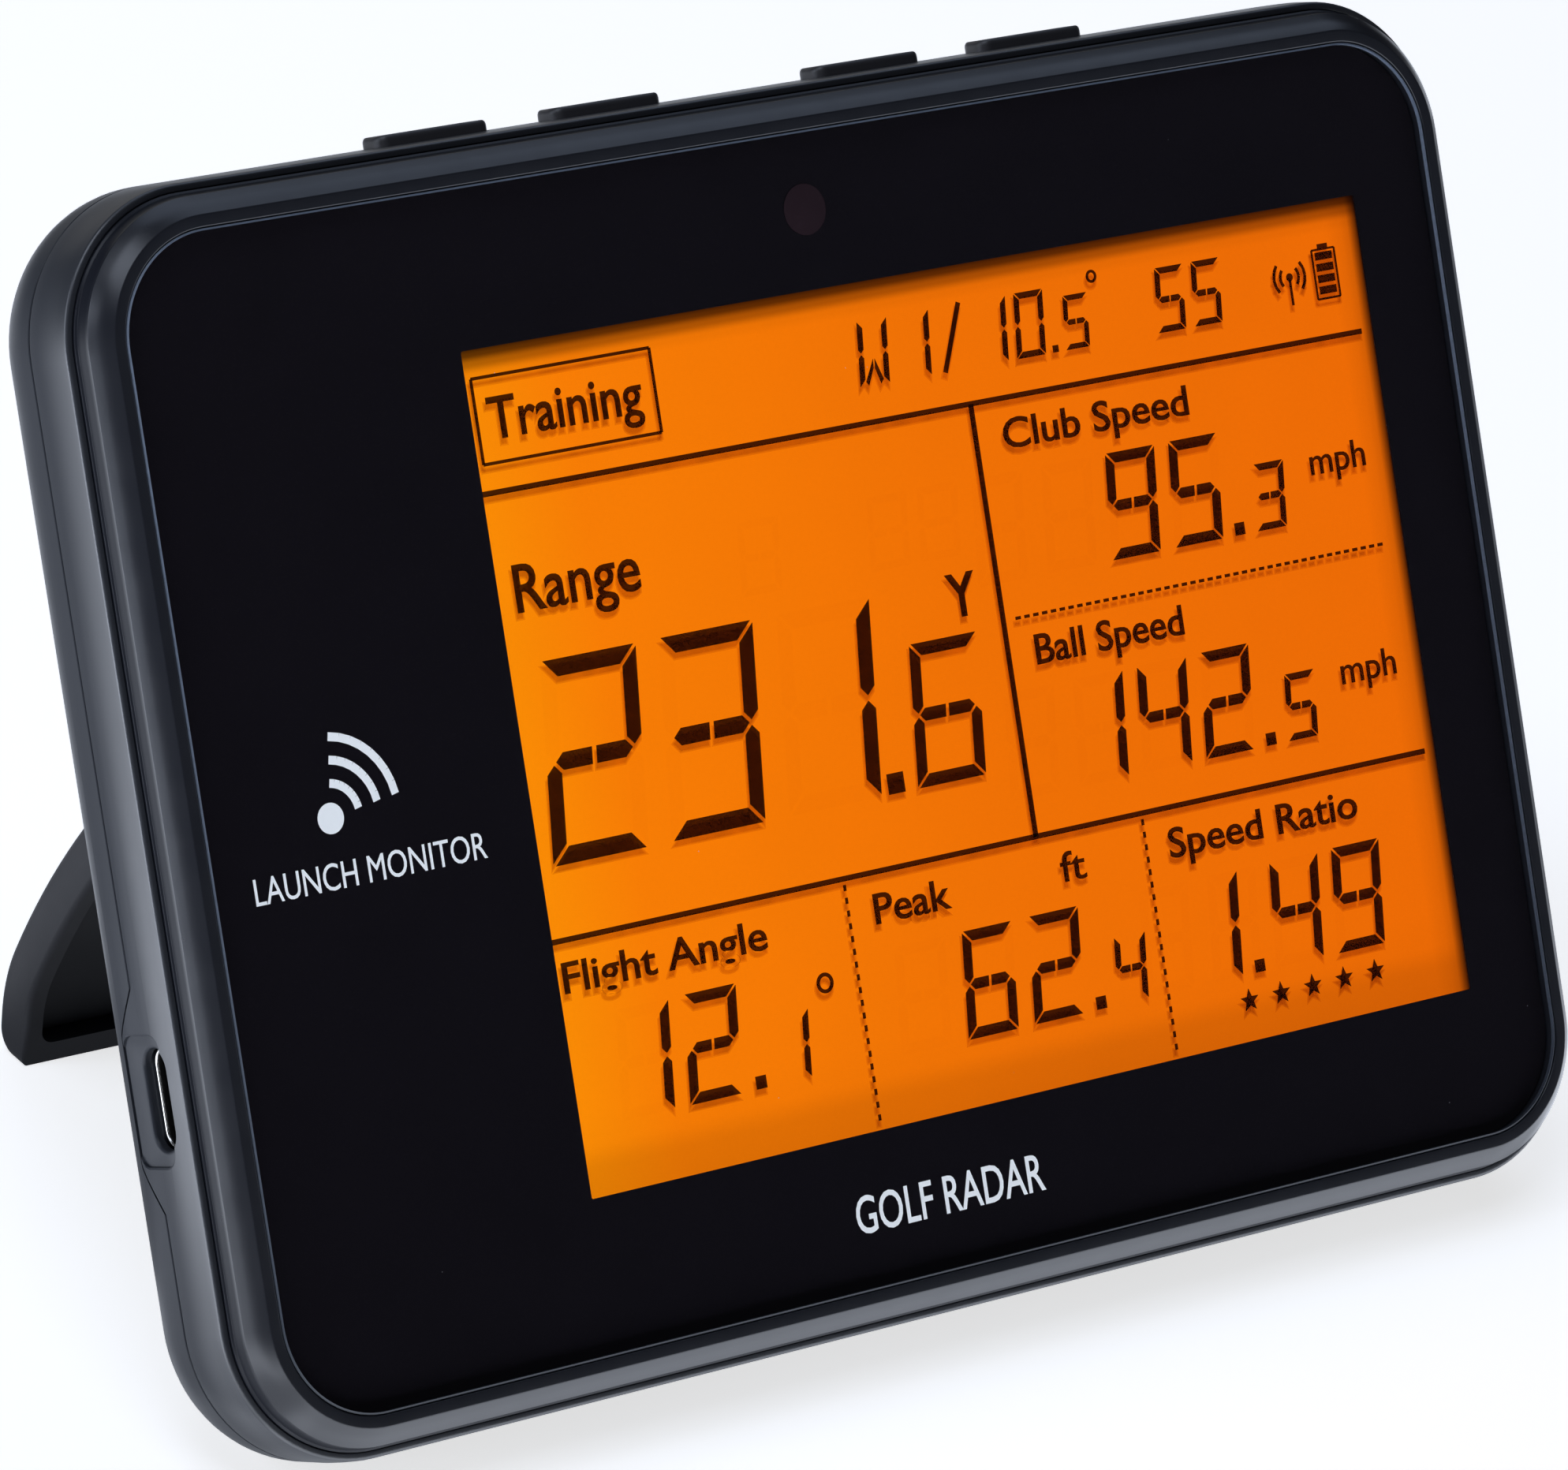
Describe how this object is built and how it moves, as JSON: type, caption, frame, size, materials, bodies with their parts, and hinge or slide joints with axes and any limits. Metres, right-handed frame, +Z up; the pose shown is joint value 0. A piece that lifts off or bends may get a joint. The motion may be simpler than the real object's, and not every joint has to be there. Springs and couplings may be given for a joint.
{
  "type": "golf launch monitor",
  "caption": "Tablet-shaped golf launch monitor with a lit display, top buttons, a side charging port and a fold-out kickstand.",
  "frame": {"origin": "centre of the bounding box's bottom, on the table plane the body's rear edge and the stand's sole rest on", "axes": "+X to the right seen from the display side, -Y towards the viewer, +Z up; the display leans back 29 degrees"},
  "size_m": [0.1528, 0.0794, 0.1011],
  "materials": {
    "front_glass": "high gloss black, back-printed acrylic",
    "bezel_plastic": "satin slate grey, smooth",
    "body_plastic": "satin dark grey, fine spark texture",
    "stand_plastic": "matt dark grey moulding",
    "button_rubber": "matt black",
    "lcd_glass": "orange lit liquid-crystal display",
    "light_guide": "clear moulded acrylic",
    "white_plastic": "white reflector-grade moulding",
    "circuit_board": "green solder mask",
    "radar_laminate": "woven microwave laminate",
    "chip_package": "black moulded resin",
    "shield_steel": "tinned sheet",
    "port_steel": "bright drawn shell",
    "screw_steel": "black oxide",
    "battery_wrap": "heat-shrunk film",
    "foam": "closed-cell foam",
    "adhesive": "black double-sided tape",
    "flex_film": "amber polyimide film",
    "wire_red": "red insulation",
    "wire_black": "black insulation",
    "speaker_cone": "pressed fibre",
    "ir_resin": "infra-red pass resin"
  },
  "bodies": {
    "housing": {"backlight_strip": "white_plastic", "battery_lead_black": "wire_black", "battery_lead_red": "wire_red", "battery_pack": "battery_wrap", "battery_pad": "foam", "battery_socket": "white_plastic", "board_screw_1": "screw_steel", "board_screw_2": "screw_steel", "board_screw_3": "screw_steel", "board_screw_4": "screw_steel", "charger_chip": "chip_package", "detent_spring": "shield_steel", "display_window": "front_glass", "front_bezel": "bezel_plastic", "front_housing": "body_plastic", "ir_receiver": "ir_resin", "lcd_flex": "flex_film", "lcd_panel": "lcd_glass", "lcd_tray": "white_plastic", "light_guide": "light_guide", "main_board": "circuit_board", "memory_chip": "chip_package", "power_inductor": "chip_package", "pressure_sensor": "port_steel", "processor_chip": "chip_package", "radar_board": "radar_laminate", "radar_header": "chip_package", "radar_shield": "shield_steel", "radar_spacer_left": "white_plastic", "radar_spacer_right": "white_plastic", "rear_cover": "body_plastic", "rear_screw_1": "screw_steel", "rear_screw_2": "screw_steel", "rear_screw_3": "screw_steel", "rear_screw_4": "screw_steel", "speaker": "shield_steel", "speaker_cone": "speaker_cone", "speaker_gasket": "foam", "switch_far_left": "chip_package", "switch_far_right": "chip_package", "switch_left": "chip_package", "switch_right": "chip_package", "usb_shell": "port_steel", "usb_tongue": "chip_package", "window_adhesive": "adhesive", "wireless_module": "shield_steel"},
    "stand": {"kickstand": "stand_plastic", "hinge_pin_left": "shield_steel", "hinge_pin_right": "shield_steel"},
    "key_far_left": {"button_far_left": "button_rubber", "plunger_far_left": "white_plastic"},
    "key_left": {"button_left": "button_rubber", "plunger_left": "white_plastic"},
    "key_right": {"button_right": "button_rubber", "plunger_right": "white_plastic"},
    "key_far_right": {"button_far_right": "button_rubber", "plunger_far_right": "white_plastic"}
  },
  "joints": [
    {"name": "stand_fold", "type": "hinge", "parent": "housing", "child": "stand", "pos_m": [0, 0.00978, 0.05609], "axis": [-1, 0, 0], "range_deg": [0, 57.5]},
    {"name": "press_far_left", "type": "slide", "parent": "housing", "child": "key_far_left", "axis": [0, -0.4848, -0.8746], "range_m": [0, 0.0005], "stiffness_N_per_m": 800},
    {"name": "press_left", "type": "slide", "parent": "housing", "child": "key_left", "axis": [0, -0.4848, -0.8746], "range_m": [0, 0.0005], "stiffness_N_per_m": 800},
    {"name": "press_right", "type": "slide", "parent": "housing", "child": "key_right", "axis": [0, -0.4848, -0.8746], "range_m": [0, 0.0005], "stiffness_N_per_m": 800},
    {"name": "press_far_right", "type": "slide", "parent": "housing", "child": "key_far_right", "axis": [0, -0.4848, -0.8746], "range_m": [0, 0.0005], "stiffness_N_per_m": 800}
  ]
}
